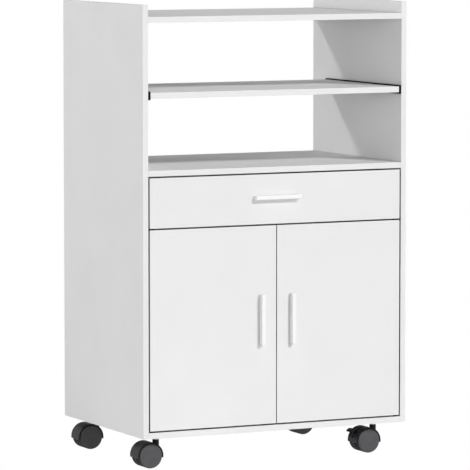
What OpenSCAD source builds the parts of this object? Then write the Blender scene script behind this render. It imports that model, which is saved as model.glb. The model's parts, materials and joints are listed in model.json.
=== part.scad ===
// Kitchen cart on four twin-wheel casters: an open bay, a pull-out shelf, a second
// open bay, a worktop, one drawer and a cupboard with two inset doors.
// Millimetres. Z is up, the floor is z = 0, and the fronts face -Y. Left is -X.
// Right-hand pieces are drawn, and left-hand ones are mirrored.

/* [Cabinet] */
// Width across the two side panels
body_w = 600; // [520:10:800]
// Depth of the side panels
body_d = 400; // [380:10:500]
// Height of the side panels
body_h = 876; // [860:1:1000]
// Thickness of every board
board_t = 12; // [12:1:16]
// Rise of the side panels above the top board
side_rise = 24; // [0:1:60]
// Clear height between the top board and the pull-out shelf
upper_bay_h = 140; // [100:1:160]
// Clear height between the pull-out shelf and the worktop
lower_bay_h = 145; // [100:1:160]
// Thickness of the back board
back_t = 3; // [2.5:0.5:4]
// Distance of the back board from the rear edges
back_inset = 10; // [8:1:20]
// Depth of the grooves that hold the back board
groove_depth = 5; // [4:0.5:6]
// Height of the inner shelf above the bottom board
inner_shelf_h = 200; // [150:1:240]
// Distance of the inner shelf behind the fronts
inner_shelf_setback = 40; // [36:1:80]

/* [Fronts] */
// Height of the drawer front
drawer_front_h = 102; // [98:0.5:112]
// Gap round the drawer front and the doors
front_gap = 3; // [2.5:0.1:3.5]
// Gap between the two doors
door_gap = 1.8; // [1.5:0.1:4]

/* [Pull-out shelf] */
// Depth of the pull-out shelf
pullout_d = 333; // [280:1:360]
// Gap between a side panel and the shelf's end, which the slide fills
pullout_side_gap = 5.4; // [5.4:0.1:8]
// Height of the black slide rail
slide_rail_h = 17.8; // [16:0.1:20]
// Drop of the rail's middle below the shelf's middle
slide_rail_drop = 0.2; // [0:0.1:1]
// Thickness of the rail's sheet
slide_rail_t = 1; // [0.8:0.1:1]

/* [Drawer] */
// Clear depth between the drawer box and the back board's groove
drawer_back_gap = 24.7; // [20:0.1:60]
// Height of the drawer's sides
drawer_box_h = 78; // [70:1:80]
// Height of the drawer box above the lower edge of its front
drawer_box_lift = 9; // [6:0.5:10]
// Gap between a side panel and the drawer's side, which the runner fills
runner_gap = 12.5; // [12.5:0.1:14]
// Thickness of the runner's sheet
runner_t = 1.2; // [1:0.1:1.2]
// Diameter of the runner's rollers
roller_d = 16; // [14:0.5:18]
// Width of the runner's rollers
roller_w = 6; // [5:0.5:6]

/* [Handles] */
// Distance between a handle's two screws
handle_pitch = 96; // [64:1:128]
// Length of the handle bar beyond the screws, both ends together
handle_extra = 7; // [7:0.5:10]
// Width of the handle bar
handle_w = 8; // [7:0.5:12]
// Distance of the bar's face from the board
handle_reach = 12.5; // [11:0.5:30]
// Thickness of the handle's walls round its hollow back
handle_wall = 1.5; // [1.2:0.1:2]
// Distance of a door's handle from the door's free edge
handle_edge = 34; // [26:1:60]
// Rise of the door handles' middle above the doors' middle
door_handle_rise = 12; // [0:1:60]
// Rise of the drawer handle's middle above its front's middle
drawer_handle_rise = 4; // [0:0.5:8]

/* [Door pivots] */
// Distance of the pivot from the door's hinge edge
pivot_edge = 5.5; // [5.5:0.1:6]
// Distance of the pivot behind the door's front face
pivot_depth = 5; // [5:0.1:5.2]
// Diameter of the pivot pin
pivot_pin_d = 4; // [3:0.5:4]
// Outer diameter of the bushing round the pin
bushing_d = 7; // [6.5:0.1:7]
// Length of each bushing
bushing_l = 12; // [10:1:20]

/* [Casters] */
// Height from the floor to the bottom board
caster_h = 65; // [64:1:72]
// Wheel diameter
wheel_d = 50; // [46:1:50]
// Width across the two wheels of a caster
caster_w = 45; // [42:1:48]
// Distance of the wheels' axle behind the swivel axis
caster_trail = 20; // [18:0.5:21]
// Distance of the swivel axes from the cabinet's outer faces
caster_inset = 50; // [46:1:70]
// Width of the caster's square plate
plate_w = 42; // [40:1:46]
// Spacing of the plate's screws
plate_pitch = 32; // [30:1:33]

/* [Fasteners] */
// Diameter of a cam lock
cam_d = 15; // [14:1:16]
// Distance from a board's end to the middle of its cam
cam_reach = 24; // [20:1:30]
// Distance of the cam bolts from the front and rear edges
cam_inset = 95; // [90:1:110]
// Distance of the dowels from the front and rear edges
dowel_inset = 130; // [125:1:150]
// Diameter of a dowel
dowel_d = 6; // [5:1:6]
// Diameter of the wood screws
screw_d = 3.5; // [3:0.5:4]
// Length of the wood screws inside a board
screw_l = 9; // [7:1:9]

/* [Hidden] */
$fn = 48;

// Clearances that many pieces share
fit_c = 0.05; // radial gap of a pin or screw in its bore
run_c = 0.3;  // gap between pieces that move past each other
cut = 1;      // how far a cutting solid runs past a face

// Cabinet levels and faces
half_in = body_w / 2 - board_t;
mid_y = handle_reach / 2; // the handles reach in front, and the middle of everything is y = 0
front_y = mid_y - body_d / 2;
back_y = mid_y + body_d / 2;
base_z = caster_h;
floor_board_z = base_z + board_t;
top_z = base_z + body_h - side_rise - board_t;
shelf_top_z = top_z - upper_bay_h;
shelf_z = shelf_top_z - board_t;
shelf_mid_z = shelf_z + board_t / 2;
worktop_z = shelf_z - lower_bay_h - board_t;
board_levels = [base_z, worktop_z, top_z];
back_slot = back_t + run_c;
back_slot_y = back_y - back_inset - back_slot;

// Fronts
front_back_y = front_y + board_t;
drawer_top_z = worktop_z - front_gap;
drawer_z = drawer_top_z - drawer_front_h;
door_top_z = drawer_z - front_gap;
door_z = floor_board_z + front_gap;
door_w = half_in - front_gap - door_gap / 2;
drawer_front_w = 2 * (half_in - front_gap);

// Inner shelf and its pins
inner_shelf_z = floor_board_z + inner_shelf_h;
inner_shelf_gap = 0.5;
inner_shelf_y = front_y + inner_shelf_setback;
shelf_pin_d = 5;
shelf_pin_l = 8;
pin_z = inner_shelf_z - shelf_pin_d / 2;
pin_hole_pitch = 32;
pin_front = 40; // distance of the front pins behind the inner shelf's front edge
pin_rear = 45;  // distance of the rear pins before the back board
pin_ys = [inner_shelf_y + pin_front, back_slot_y - pin_rear];

// Cam joints
cam_play = 0.2;
bolt_thread_d = 5;
bolt_thread_l = 9;
bolt_shank_d = 6;
bolt_neck_d = 4;
bolt_neck_l = 4;
bolt_head_d = 5.6;
bolt_head_l = 3;
cam_hole_h = board_t / 2 + bolt_head_d / 2 + cam_play;
cam_h = cam_hole_h - cam_play;
bolt_bore_d = 7;
bore_end_c = 0.4; // room at the blind end of a bore
cam_ys = [front_y + cam_inset, back_y - cam_inset];
dowel_ys = [front_y + dowel_inset, back_y - dowel_inset];
dowel_side_l = 8;
dowel_board_l = 20;

// Wood screws
screw_head_d = 6.6;
screw_head_h = 1.2;
pilot_d = screw_d + 2 * fit_c;
pilot_l = screw_l + bore_end_c;

// Pull-out shelf slide
rail_z = shelf_mid_z - slide_rail_drop;
rail_l = pullout_d - 1;
rail_y = front_y + 0.5;
rail_corner_r = 1.5;
rail_depth = pullout_side_gap - 0.2;
pullout_half_w = half_in - pullout_side_gap;
bar_t = pullout_side_gap - slide_rail_t - run_c;
bar_h = slide_rail_h - 2 * slide_rail_t - 2 * run_c;
bar_slot_h = screw_head_d + 1.4;
bar_slot_t = screw_head_h + 0.4;
bar_sheet_t = 1.2;
rail_screw_in = 30; // distance of the rail's outer screws from its ends
bar_screw_in = 50;
bar_screw_shift = 20; // keeps a bar's middle screw clear of its rail's
rail_mid_y = rail_y + rail_l / 2;
rail_screw_ys = [rail_y + rail_screw_in, rail_mid_y, rail_y + rail_l - rail_screw_in];
bar_screw_ys = [rail_y + bar_screw_in, rail_mid_y + bar_screw_shift, rail_y + rail_l - bar_screw_in];

// Drawer box
box_z = drawer_z + drawer_box_lift;
box_top_z = box_z + drawer_box_h;
box_half_w = half_in - runner_gap;
box_in_w = box_half_w - board_t;
box_back_y = back_slot_y - drawer_back_gap;
drawer_box_d = box_back_y - front_back_y;
bottom_t = 3;
bottom_slot = bottom_t + run_c;
bottom_slot_depth = 4;
bottom_rise = 10; // height of the bottom's groove above the sides' lower edges
bottom_slot_z = box_z + bottom_rise;
drawer_back_z = bottom_slot_z + bottom_slot;
drawer_cam_drop = 16;
drawer_cam_z = box_top_z - drawer_cam_drop;
drawer_screw_l = 18;
drawer_screw_in = 14; // distance of the screws from the back's upper and lower edges
drawer_screw_zs = [drawer_back_z + drawer_screw_in, box_top_z - drawer_screw_in];

// Drawer runners: a channel on the cabinet and an angle on the drawer
roller_r = roller_d / 2;
roller_axle_d = 4;
roller_side_c = 1.6; // room between a roller and the sheet that holds its axle
axle_end = 0.5;
channel_floor_z = box_z + runner_t;
rear_roller_z = channel_floor_z + run_c + roller_r;
flange_z = rear_roller_z + roller_r + 0.5;
flange_top_z = flange_z + runner_t;
channel_roof_z = flange_top_z + 0.8;
front_roller_z = flange_z - run_c - roller_r;
channel_depth = runner_gap - 2 * runner_t - 0.6;
channel_x = half_in - runner_t - channel_depth;
channel_setback = 2;
channel_y = front_back_y + channel_setback;
channel_l = drawer_box_d - channel_setback;
flange_w = runner_gap - runner_t - 1;
slide_lip = 10;
front_roller_in = 2; // distance of each roller from the end of the sheet that holds it
rear_roller_in = 4;
front_roller_y = channel_y + roller_r + front_roller_in;
rear_roller_y = box_back_y - roller_r - rear_roller_in;
runner_screw_z = (channel_floor_z + flange_z) / 2;
runner_screw_front = 36; // distance of the outer screws from the channel's ends
runner_screw_rear = 60;
runner_screw_ys = [channel_y + runner_screw_front, channel_y + channel_l / 2,
                   channel_y + channel_l - runner_screw_rear];

// Door pivots, catch and strikes
pivot_x = half_in - front_gap - pivot_edge;
pivot_y = front_y + pivot_depth;
pivot_engage = 8;
collar_d = 9;
leaf_t = 1.5;
leaf_w = 14;
leaf_l = 35;
leaf_y = front_y + 1;
leaf_back_y = leaf_y + leaf_l;
leaf_z = door_top_z + (front_gap - leaf_t) / 2;
leaf_drop = 26;
wall_leaf_gap = 5; // distance of the leaf on the side panel behind the door
wall_leaf_y = front_back_y + wall_leaf_gap;
bracket_screw_in = 5;
bracket_screw_ys = [wall_leaf_y + bracket_screw_in, leaf_back_y - bracket_screw_in];
bracket_screw_z = leaf_z - leaf_drop / 2;
strike_t = 1.2;
strike_w = 15;
strike_h = 9;
strike_x = 14;
strike_z = door_z + 2;
catch_core_w = 44;
catch_foot_l = 9;
catch_foot_t = 2.5;
catch_d = 15;
catch_h = strike_z + strike_h - floor_board_z;
catch_y = front_back_y + strike_t + run_c;
catch_screw_x = (catch_core_w + catch_foot_l) / 2;

// Handles
handle_l = handle_pitch + handle_extra;
handle_corner_r = 1.5;
handle_boss_l = 12; // solid length of the handle round each screw
handle_screw_d = 4;
handle_screw_in = 6;
handle_hole_d = handle_screw_d + 0.4;
handle_head_d = 8;
handle_head_h = 2.2;
door_handle_x = door_gap / 2 + handle_edge;
door_handle_z = (door_z + door_top_z) / 2 + door_handle_rise;
drawer_handle_z = (drawer_z + drawer_top_z) / 2 + drawer_handle_rise;

// Casters: heights with _up are above the axle
plate_t = 2;
plate_hole_d = 4.4;
plate_z = base_z - plate_t;
neck_d = 9;
neck_h = 6.7;
neck_z = plate_z - neck_h;
kingpin_d = 6;
stem_d = 13.5;
wheel_r = wheel_d / 2;
axle_d = 6;
axle_l = caster_w - 6;
hood_t = 1.8;
hood_in_r = wheel_r + 1.2;
hood_r = hood_in_r + hood_t;
hood_w = caster_w - 4;
hood_skirt = 4;
groove_w = 1.2; // the groove round the hood near each end
hood_groove_depth = 0.5;
groove_in = 2;
hub_boss_d = 14;
web_w = 8;
web_gap = 0.8;
wheel_in_y = web_w / 2 + web_gap;
wheel_w = caster_w / 2 - wheel_in_y;
stem_low_up = 8;
stem_top_up = neck_z - run_c - wheel_r;
kingpin_low_up = hood_in_r - 9;
vent_w = 4;
vent_up = 5;
lever_x = -17;
lever_up = 17;
lever_hub_r = 3;
lever_hub_w = 4.4;
lever_w = 16;
lever_l = 21.5; // reach of the tab from the lever's pin
lever_pin_d = 2.5;
lever_pin_l = web_w - 1.6;
lever_slot_w = lever_hub_w + 0.6;
caster_sites = [[-1, -1], [1, -1], [-1, 1], [1, 1]];
round_fn = 96;

// Colours
board_white = "white";
handle_white = [0.97, 0.97, 0.96];
steel = "silver";
rail_black = [0.12, 0.12, 0.12];
hood_black = [0.22, 0.22, 0.23];
wheel_black = [0.32, 0.32, 0.33];
nylon_white = [0.9, 0.9, 0.88];
beech = "burlywood";

// ---- Helpers ----

// A cylinder that runs along +X from its start
module rod_x(x, y, z, d, l) {
    translate([x, y, z]) rotate([0, 90, 0]) cylinder(d = d, h = l);
}

// A cylinder that runs along +Y from its start
module rod_y(x, y, z, d, l) {
    translate([x, y, z]) rotate([-90, 0, 0]) cylinder(d = d, h = l);
}

// A piece on the right and its mirror image on the left
module both_sides() {
    children();
    mirror([1, 0, 0]) children();
}

// A wood screw along +X: its head lies against x = 0, and its shank runs through
// a sheet and then screw_in further
module wood_screw(sheet, screw_in) {
    rod_x(-screw_head_h, 0, 0, screw_head_d, screw_head_h);
    rod_x(-screw_head_h / 2, 0, 0, screw_d, screw_head_h / 2 + sheet + screw_in);
}

// ---- Cabinet boards ----

module side_board() {
    color(board_white) difference() {
        translate([half_in, front_y, base_z]) cube([board_t, body_d, body_h]);
        translate([half_in - cut, back_slot_y, floor_board_z - groove_depth])
            cube([groove_depth + cut, back_slot, worktop_z - floor_board_z + 2 * groove_depth]);
        for (z = board_levels) side_joint_bores(z + board_t / 2);
        for (row = [-1, 0, 1]) for (y = pin_ys)
            rod_x(half_in - cut, y, pin_z + row * pin_hole_pitch, shelf_pin_d + 2 * fit_c, shelf_pin_l + cut);
        side_pilot_bores();
    }
}

// Holes for the cam bolts and dowels of one fixed board
module side_joint_bores(z) {
    for (y = cam_ys) rod_x(half_in - cut, y, z, bolt_thread_d + 2 * fit_c, bolt_thread_l + cut);
    for (y = dowel_ys) rod_x(half_in - cut, y, z, dowel_d + 2 * fit_c, dowel_side_l + cut);
}

// Pilot holes of the rails, runners and brackets on a side panel
module side_pilot_bores() {
    for (y = rail_screw_ys) rod_x(half_in - cut, y, rail_z, pilot_d, pilot_l + cut);
    for (y = runner_screw_ys) rod_x(half_in - cut, y, runner_screw_z, pilot_d, pilot_l + cut);
    for (y = bracket_screw_ys) rod_x(half_in - cut, y, bracket_screw_z, pilot_d, pilot_l + cut);
}

// A fixed board between the side panels, with its cam holes underneath
module fixed_board(z) {
    difference() {
        translate([-half_in, front_y, z]) cube([2 * half_in, body_d, board_t]);
        both_sides() {
            for (y = cam_ys) {
                translate([half_in - cam_reach, y, z - cut]) cylinder(d = cam_d, h = cam_hole_h + cut);
                rod_x(half_in - cam_reach, y, z + board_t / 2, bolt_bore_d, cam_reach + cut);
            }
            for (y = dowel_ys)
                rod_x(half_in - dowel_board_l - bore_end_c, y, z + board_t / 2,
                      dowel_d + 2 * fit_c, dowel_board_l + bore_end_c + cut);
        }
    }
}

// The groove for the back board along a fixed board, from height z upwards
module board_groove(z) {
    translate([-half_in - cut, back_slot_y, z]) cube([2 * (half_in + cut), back_slot, groove_depth + cut]);
}

module top_board() {
    color(board_white) fixed_board(top_z);
}

module worktop_board() {
    color(board_white) difference() {
        fixed_board(worktop_z);
        board_groove(worktop_z - cut);
    }
}

module bottom_board() {
    color(board_white) difference() {
        fixed_board(base_z);
        board_groove(floor_board_z - groove_depth);
        both_sides() translate([pivot_x, pivot_y, floor_board_z - pivot_engage])
            cylinder(d = pivot_pin_d + 2 * fit_c, h = pivot_engage + cut);
        for (site = caster_sites) at_caster(site) at_plate_screws()
            translate([0, 0, base_z - cut]) cylinder(d = pilot_d, h = pilot_l + cut);
        at_catch_screws() translate([0, 0, floor_board_z - pilot_l]) cylinder(d = pilot_d, h = pilot_l + cut);
    }
}

module back_board() {
    edge = groove_depth - run_c;
    color(board_white) translate([-half_in - edge, back_slot_y + run_c / 2, floor_board_z - edge])
        cube([2 * (half_in + edge), back_t, worktop_z - floor_board_z + 2 * edge]);
}

module inner_board() {
    color(board_white) translate([-half_in + inner_shelf_gap, inner_shelf_y, inner_shelf_z])
        cube([2 * (half_in - inner_shelf_gap), back_slot_y - inner_shelf_gap - inner_shelf_y, board_t]);
}

module shelf_pin_set() {
    color(steel) both_sides() for (y = pin_ys)
        rod_x(half_in - shelf_pin_l, y, pin_z, shelf_pin_d, 2 * shelf_pin_l - bore_end_c);
}

// ---- Cam joints ----

// A cam in its hole: its face with the drive cross is at z = 0, and the bolt leaves along +X
module cam_lock() {
    channel = bolt_head_d + 2 * run_c;
    difference() {
        cylinder(d = cam_d - cam_play, h = cam_h);
        translate([-channel / 2, -channel / 2, board_t / 2 - channel / 2]) cube([cam_d, channel, cam_h]);
        for (a = [45, 135]) rotate(a) translate([-4, -0.6, -cut]) cube([8, 1.2, 1.4 + cut]);
    }
}

// A cam bolt along +X: its head is at x = 0, and its thread starts at the board's end
module cam_bolt() {
    shank_x = bolt_head_l / 2 + bolt_neck_l;
    rod_x(-bolt_head_l / 2, 0, 0, bolt_head_d, bolt_head_l);
    rod_x(0, 0, 0, bolt_neck_d, shank_x + cut);
    rod_x(shank_x, 0, 0, bolt_shank_d, cam_reach - shank_x);
    rod_x(cam_reach - cut, 0, 0, bolt_thread_d, cut + bolt_thread_l - bore_end_c);
}

// Every cam joint of the cabinet
module at_cams() {
    both_sides() for (z = board_levels) for (y = cam_ys) translate([half_in - cam_reach, y, z]) children();
}

module cam_lock_set() {
    color(steel) at_cams() cam_lock();
}

module cam_bolt_set() {
    color(steel) at_cams() translate([0, 0, board_t / 2]) cam_bolt();
}

module dowel_set() {
    l = dowel_board_l + dowel_side_l - bore_end_c;
    color(beech) both_sides() for (z = board_levels) for (y = dowel_ys)
        rod_x(half_in - dowel_board_l, y, z + board_t / 2, dowel_d, l);
}

// ---- Screws in the side panels and in the bottom board ----

module board_screw_set() {
    color(steel) {
        both_sides() {
            for (y = rail_screw_ys)
                translate([half_in - slide_rail_t, y, rail_z]) wood_screw(slide_rail_t, screw_l);
            for (y = runner_screw_ys)
                translate([half_in - runner_t, y, runner_screw_z]) wood_screw(runner_t, screw_l);
            for (y = bracket_screw_ys)
                translate([half_in - leaf_t, y, bracket_screw_z]) wood_screw(leaf_t, screw_l);
        }
        at_catch_screws() translate([0, 0, floor_board_z + catch_foot_t]) rotate([0, 90, 0])
            wood_screw(catch_foot_t, screw_l);
    }
}

// ---- Pull-out shelf ----

// The rail's cross-section: a channel whose outer corners are round, its web at x = depth
module rail_section() {
    difference() {
        union() {
            square([rail_depth - rail_corner_r, slide_rail_h]);
            translate([0, rail_corner_r]) square([rail_depth, slide_rail_h - 2 * rail_corner_r]);
            for (y = [rail_corner_r, slide_rail_h - rail_corner_r])
                translate([rail_depth - rail_corner_r, y]) circle(rail_corner_r);
        }
        translate([-cut, slide_rail_t])
            square([rail_depth - slide_rail_t + cut, slide_rail_h - 2 * slide_rail_t]);
    }
}

module shelf_rail() {
    color(rail_black) difference() {
        translate([half_in - rail_depth, rail_y + rail_l, rail_z - slide_rail_h / 2])
            rotate([90, 0, 0]) linear_extrude(rail_l) rail_section();
        for (y = rail_screw_ys) rod_x(half_in - rail_depth, y, rail_z, pilot_d, rail_depth + cut);
    }
}

module pullout_board() {
    color(board_white) difference() {
        translate([-pullout_half_w, front_y, shelf_z]) cube([2 * pullout_half_w, pullout_d, board_t]);
        both_sides() for (y = bar_screw_ys)
            rod_x(pullout_half_w - pilot_l, y, shelf_mid_z, pilot_d, pilot_l + cut);
    }
}

// The bars on the shelf's ends, with a slot that clears the screws of the rails
module slide_bar_pair() {
    color(rail_black) both_sides() difference() {
        translate([pullout_half_w, rail_y, rail_z - bar_h / 2]) cube([bar_t, rail_l, bar_h]);
        translate([pullout_half_w + bar_t - bar_slot_t, rail_y - cut, rail_z - bar_slot_h / 2])
            cube([bar_slot_t + cut, rail_l + 2 * cut, bar_slot_h]);
        for (y = bar_screw_ys) {
            rod_x(pullout_half_w - cut, y, shelf_mid_z, pilot_d, bar_t + 2 * cut);
            rod_x(pullout_half_w + bar_sheet_t, y, shelf_mid_z, screw_head_d + 2 * fit_c, bar_t);
        }
    }
}

module bar_screw_set() {
    color(steel) both_sides() for (y = bar_screw_ys)
        translate([pullout_half_w + bar_sheet_t, y, shelf_mid_z]) mirror([1, 0, 0])
            wood_screw(bar_sheet_t, screw_l);
}

// ---- Drawer ----

module drawer_face() {
    slot_half_w = box_in_w + bottom_slot_depth;
    color(board_white) difference() {
        translate([-drawer_front_w / 2, front_y, drawer_z]) cube([drawer_front_w, board_t, drawer_front_h]);
        translate([-slot_half_w, front_back_y - bottom_slot_depth, bottom_slot_z])
            cube([2 * slot_half_w, bottom_slot_depth + cut, bottom_slot]);
        for (x = [-1, 1])
            rod_y(x * handle_pitch / 2, front_y - cut, drawer_handle_z, handle_hole_d, board_t + 2 * cut);
        both_sides() rod_y(box_half_w - board_t / 2, front_back_y - bolt_thread_l, drawer_cam_z,
                           bolt_thread_d + 2 * fit_c, bolt_thread_l + cut);
    }
}

module drawer_side() {
    color(board_white) difference() {
        translate([box_in_w, front_back_y, box_z]) cube([board_t, drawer_box_d, drawer_box_h]);
        translate([box_in_w - cut, front_back_y - cut, bottom_slot_z])
            cube([bottom_slot_depth + cut, drawer_box_d + 2 * cut, bottom_slot]);
        rod_x(box_in_w - cut, front_back_y + cam_reach, drawer_cam_z, cam_d, cam_hole_h + cut);
        rod_y(box_in_w + board_t / 2, front_back_y - cut, drawer_cam_z, bolt_bore_d, cam_reach + cut);
        for (z = drawer_screw_zs)
            rod_x(box_in_w - cut, box_back_y - board_t / 2, z, pilot_d, board_t + 2 * cut);
    }
}

module drawer_back_board() {
    bore_l = drawer_screw_l + bore_end_c;
    color(board_white) difference() {
        translate([-box_in_w, box_back_y - board_t, drawer_back_z])
            cube([2 * box_in_w, board_t, box_top_z - drawer_back_z]);
        both_sides() for (z = drawer_screw_zs)
            rod_x(box_in_w - bore_l, box_back_y - board_t / 2, z, pilot_d, bore_l + cut);
    }
}

module drawer_bottom_board() {
    reach = bottom_slot_depth - run_c;
    color(board_white)
        translate([-box_in_w - reach, front_back_y - reach, bottom_slot_z + run_c / 2])
            cube([2 * (box_in_w + reach), drawer_box_d + reach, bottom_t]);
}

module drawer_screw_set() {
    color(steel) both_sides() for (z = drawer_screw_zs)
        translate([box_half_w, box_back_y - board_t / 2, z]) mirror([1, 0, 0])
            wood_screw(board_t, drawer_screw_l);
}

// The drawer's cams lie in the inner faces of its sides, and their bolts end in its front
module at_drawer_cams() {
    both_sides() translate([box_in_w, front_back_y + cam_reach, drawer_cam_z])
        rotate([0, 90, 0]) rotate([0, 0, -90]) children();
}

module drawer_cam_lock_set() {
    color(steel) at_drawer_cams() cam_lock();
}

module drawer_cam_bolt_set() {
    color(steel) at_drawer_cams() translate([0, 0, board_t / 2]) cam_bolt();
}

// The channel on a side panel, with the front roller's axle
module runner_channel() {
    axle_reach = roller_side_c + roller_w + axle_end;
    color(nylon_white) both_sides() difference() {
        union() {
            translate([half_in - runner_t, channel_y, box_z])
                cube([runner_t, channel_l, channel_roof_z + runner_t - box_z]);
            for (z = [box_z, channel_roof_z])
                translate([channel_x, channel_y, z]) cube([channel_depth + runner_t, channel_l, runner_t]);
            rod_x(half_in - runner_t - axle_reach, front_roller_y, front_roller_z,
                  roller_axle_d, axle_reach + runner_t / 2);
        }
        for (y = runner_screw_ys)
            rod_x(half_in - runner_t - cut, y, runner_screw_z, pilot_d, runner_t + 2 * cut);
    }
}

// The angle under a drawer side, with the rear roller's axle
module slide_angle() {
    low_z = box_z - runner_t;
    color(nylon_white) both_sides() {
        translate([box_half_w, front_back_y, low_z]) cube([runner_t, drawer_box_d, flange_top_z - low_z]);
        translate([box_half_w, front_back_y, flange_z]) cube([flange_w, drawer_box_d, runner_t]);
        translate([box_half_w - slide_lip, front_back_y, low_z])
            cube([slide_lip + runner_t, drawer_box_d, runner_t]);
        rod_x(box_half_w + runner_t / 2, rear_roller_y, rear_roller_z, roller_axle_d,
              runner_t / 2 + roller_side_c + roller_w + axle_end);
    }
}

module roller() {
    rotate([0, 90, 0]) difference() {
        cylinder(d = roller_d, h = roller_w);
        translate([0, 0, -cut]) cylinder(d = roller_axle_d + 2 * fit_c, h = roller_w + 2 * cut);
    }
}

module front_roller_pair() {
    color(nylon_white) both_sides()
        translate([half_in - runner_t - roller_side_c - roller_w, front_roller_y, front_roller_z]) roller();
}

module rear_roller_pair() {
    color(nylon_white) both_sides()
        translate([box_half_w + runner_t + roller_side_c, rear_roller_y, rear_roller_z]) roller();
}

// ---- Handles ----

// A bar handle along X on a board whose face is y = 0: its front edges are round, and
// its back is hollow between the screws
module bar_handle() {
    pocket_l = handle_pitch - handle_boss_l;
    pocket_w = handle_w - 2 * handle_wall;
    color(handle_white) difference() {
        intersection() {
            translate([0, 0, -handle_w / 2]) linear_extrude(handle_w) front_rounded(handle_l);
            translate([-handle_l / 2, 0, 0]) rotate([90, 0, 90]) linear_extrude(handle_l)
                rotate(-90) front_rounded(handle_w);
        }
        translate([-pocket_l / 2, handle_wall - handle_reach, -pocket_w / 2])
            cube([pocket_l, handle_reach - handle_wall + cut, pocket_w]);
        for (x = [-1, 1])
            rod_y(x * handle_pitch / 2, -handle_screw_in - bore_end_c, 0,
                  handle_screw_d + 2 * fit_c, handle_screw_in + bore_end_c + cut);
    }
}

// An outline as wide as w that reaches from y = 0 to the handle's face, where its corners are round
module front_rounded(w) {
    r = handle_corner_r;
    translate([-w / 2, r - handle_reach]) square([w, handle_reach - r]);
    translate([r - w / 2, -handle_reach]) square([w - 2 * r, 2 * r]);
    for (x = [-1, 1]) translate([x * (w / 2 - r), r - handle_reach]) circle(r);
}

module handle_screw_pair() {
    shank_l = handle_screw_in + board_t + handle_head_h / 2;
    color(steel) for (x = [-1, 1]) {
        rod_y(x * handle_pitch / 2, board_t, 0, handle_head_d, handle_head_h);
        rod_y(x * handle_pitch / 2, -handle_screw_in, 0, handle_screw_d, shank_l);
    }
}

module at_drawer_handle() {
    translate([0, front_y, drawer_handle_z]) children();
}

// The right door's handle stands upright
module at_door_handle() {
    translate([door_handle_x, front_y, door_handle_z]) rotate([0, 90, 0]) children();
}

// ---- Doors ----

module door_board() {
    color(board_white) difference() {
        translate([door_gap / 2, front_y, door_z]) cube([door_w, board_t, door_top_z - door_z]);
        for (z = [-1, 1])
            rod_y(door_handle_x, front_y - cut, door_handle_z + z * handle_pitch / 2,
                  handle_hole_d, board_t + 2 * cut);
        for (z = [door_z - cut, door_top_z - bushing_l - run_c]) translate([pivot_x, pivot_y, z])
            cylinder(d = bushing_d + 2 * fit_c, h = bushing_l + run_c + cut);
    }
}

module bushing_pair() {
    color(nylon_white) for (z = [door_z, door_top_z - bushing_l])
        translate([pivot_x, pivot_y, z]) difference() {
            cylinder(d = bushing_d, h = bushing_l);
            translate([0, 0, -cut]) cylinder(d = pivot_pin_d + 2 * fit_c, h = bushing_l + 2 * cut);
        }
}

// The lower pins stand in the bottom board and carry the doors on a collar
module pivot_pin_pair() {
    color(steel) both_sides() translate([pivot_x, pivot_y, floor_board_z]) {
        translate([0, 0, bore_end_c - pivot_engage])
            cylinder(d = pivot_pin_d, h = pivot_engage - bore_end_c + front_gap + pivot_engage);
        cylinder(d = collar_d, h = front_gap - run_c);
    }
}

// The upper brackets reach over the doors and hold them with a short pin
module pivot_bracket_pair() {
    color(steel) both_sides() difference() {
        union() {
            translate([half_in - leaf_w, leaf_y, leaf_z]) cube([leaf_w, leaf_back_y - leaf_y, leaf_t]);
            translate([half_in - leaf_t, wall_leaf_y, leaf_z - leaf_drop])
                cube([leaf_t, leaf_back_y - wall_leaf_y, leaf_drop + leaf_t]);
            translate([pivot_x, pivot_y, door_top_z - pivot_engage])
                cylinder(d = pivot_pin_d, h = leaf_z + leaf_t / 2 - door_top_z + pivot_engage);
        }
        for (y = bracket_screw_ys)
            rod_x(half_in - leaf_t - cut, y, bracket_screw_z, pilot_d, leaf_t + 2 * cut);
    }
}

// A steel plate on the back of a door, which the catch holds
module strike() {
    color(steel) translate([strike_x - strike_w / 2, front_back_y, strike_z])
        cube([strike_w, strike_t, strike_h]);
}

module at_catch_screws() {
    for (x = [-1, 1]) translate([x * catch_screw_x, catch_y + catch_d / 2, 0]) children();
}

// The magnetic catch stands on the bottom board behind both doors
module catch_body() {
    foot_w = catch_core_w + 2 * catch_foot_l;
    color(nylon_white) difference() {
        union() {
            translate([-foot_w / 2, catch_y, floor_board_z]) cube([foot_w, catch_d, catch_foot_t]);
            translate([-catch_core_w / 2, catch_y, floor_board_z]) cube([catch_core_w, catch_d, catch_h]);
        }
        at_catch_screws() translate([0, 0, floor_board_z - cut])
            cylinder(d = pilot_d, h = catch_foot_t + 2 * cut);
    }
}

// ---- Casters ----

// Puts a piece drawn about the swivel axis at one of the four places
module at_caster(site) {
    y = mid_y + site[1] * (body_d / 2 - caster_inset);
    translate([site[0] * (body_w / 2 - caster_inset), y, 0]) children();
}

// Puts a piece drawn about the wheels' axle at one of the four places
module at_axle(site) {
    at_caster(site) translate([-caster_trail, 0, wheel_r]) children();
}

// The four screws of a caster's plate
module at_plate_screws() {
    for (x = [-1, 1]) for (y = [-1, 1]) translate([x * plate_pitch / 2, y * plate_pitch / 2, 0]) children();
}

module caster_plate_set() {
    kingpin_z = wheel_r + kingpin_low_up;
    color(steel) for (site = caster_sites) at_caster(site) difference() {
        union() {
            translate([-plate_w / 2, -plate_w / 2, plate_z]) cube([plate_w, plate_w, plate_t]);
            translate([0, 0, neck_z]) cylinder(d = neck_d, h = neck_h + plate_t / 2);
            translate([0, 0, kingpin_z]) cylinder(d = kingpin_d, h = neck_z - kingpin_z + neck_h / 2);
        }
        at_plate_screws() translate([0, 0, plate_z - cut]) cylinder(d = plate_hole_d, h = plate_t + 2 * cut);
    }
}

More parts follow.
